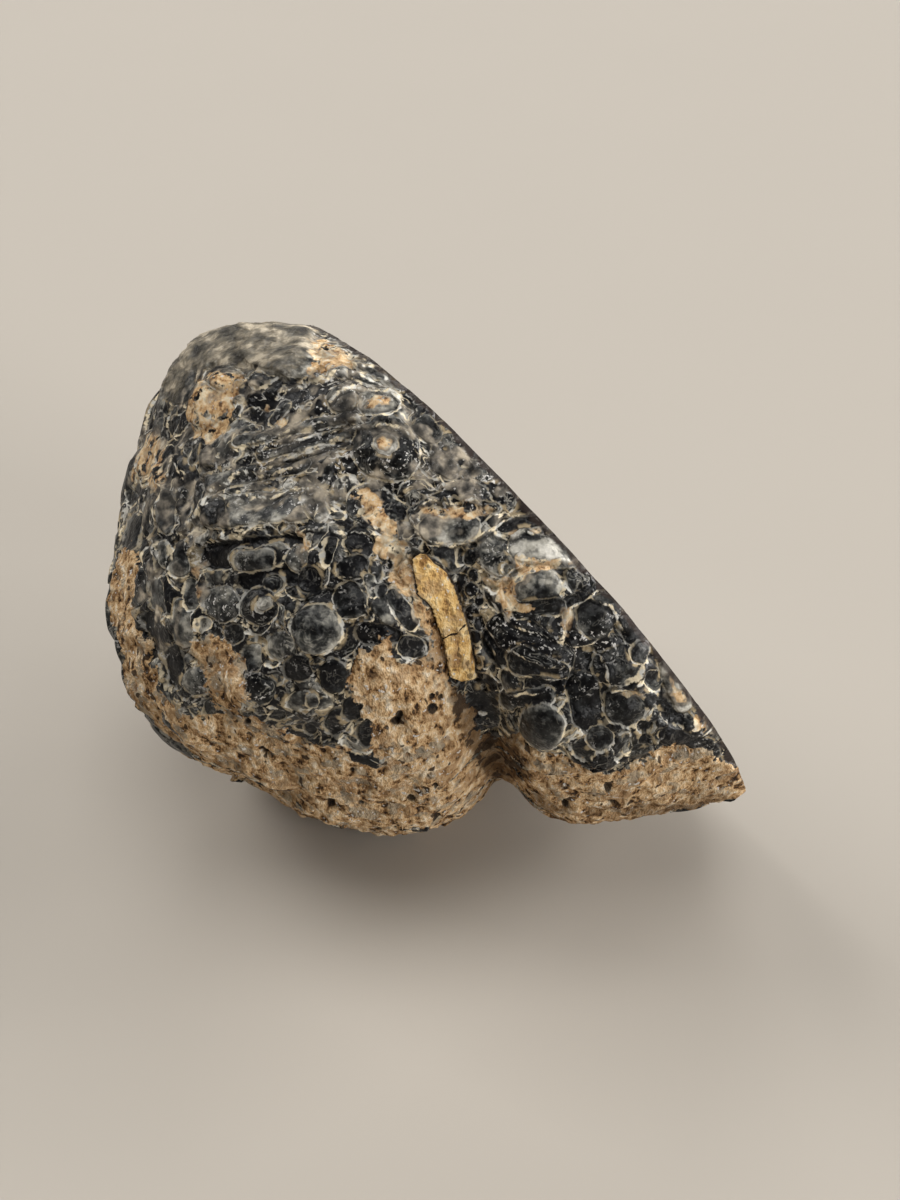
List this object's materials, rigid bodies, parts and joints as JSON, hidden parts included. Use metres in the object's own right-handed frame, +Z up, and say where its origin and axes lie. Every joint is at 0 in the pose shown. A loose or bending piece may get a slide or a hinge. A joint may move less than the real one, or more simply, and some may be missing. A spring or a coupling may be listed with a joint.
{
  "type": "geode half",
  "caption": "Sawn half of a lumpy chalcedony geode with a botryoidal rind, a deep groove and a flat cut face, resting on a small flat spot.",
  "frame": {"origin": "on the surface that the stone rests on, under the middle of its box", "axes": "+Z up, +X to the right and -Y towards the viewer of the grooved side; the sawn face looks to +X, +Y and up"},
  "size_m": [0.082, 0.0689, 0.0709],
  "materials": {
    "rind": "dark glossy botryoidal chalcedony with cream outlines and patches of matt tan matrix"
  },
  "bodies": {
    "root": {"geode": "rind"}
  },
  "joints": []
}
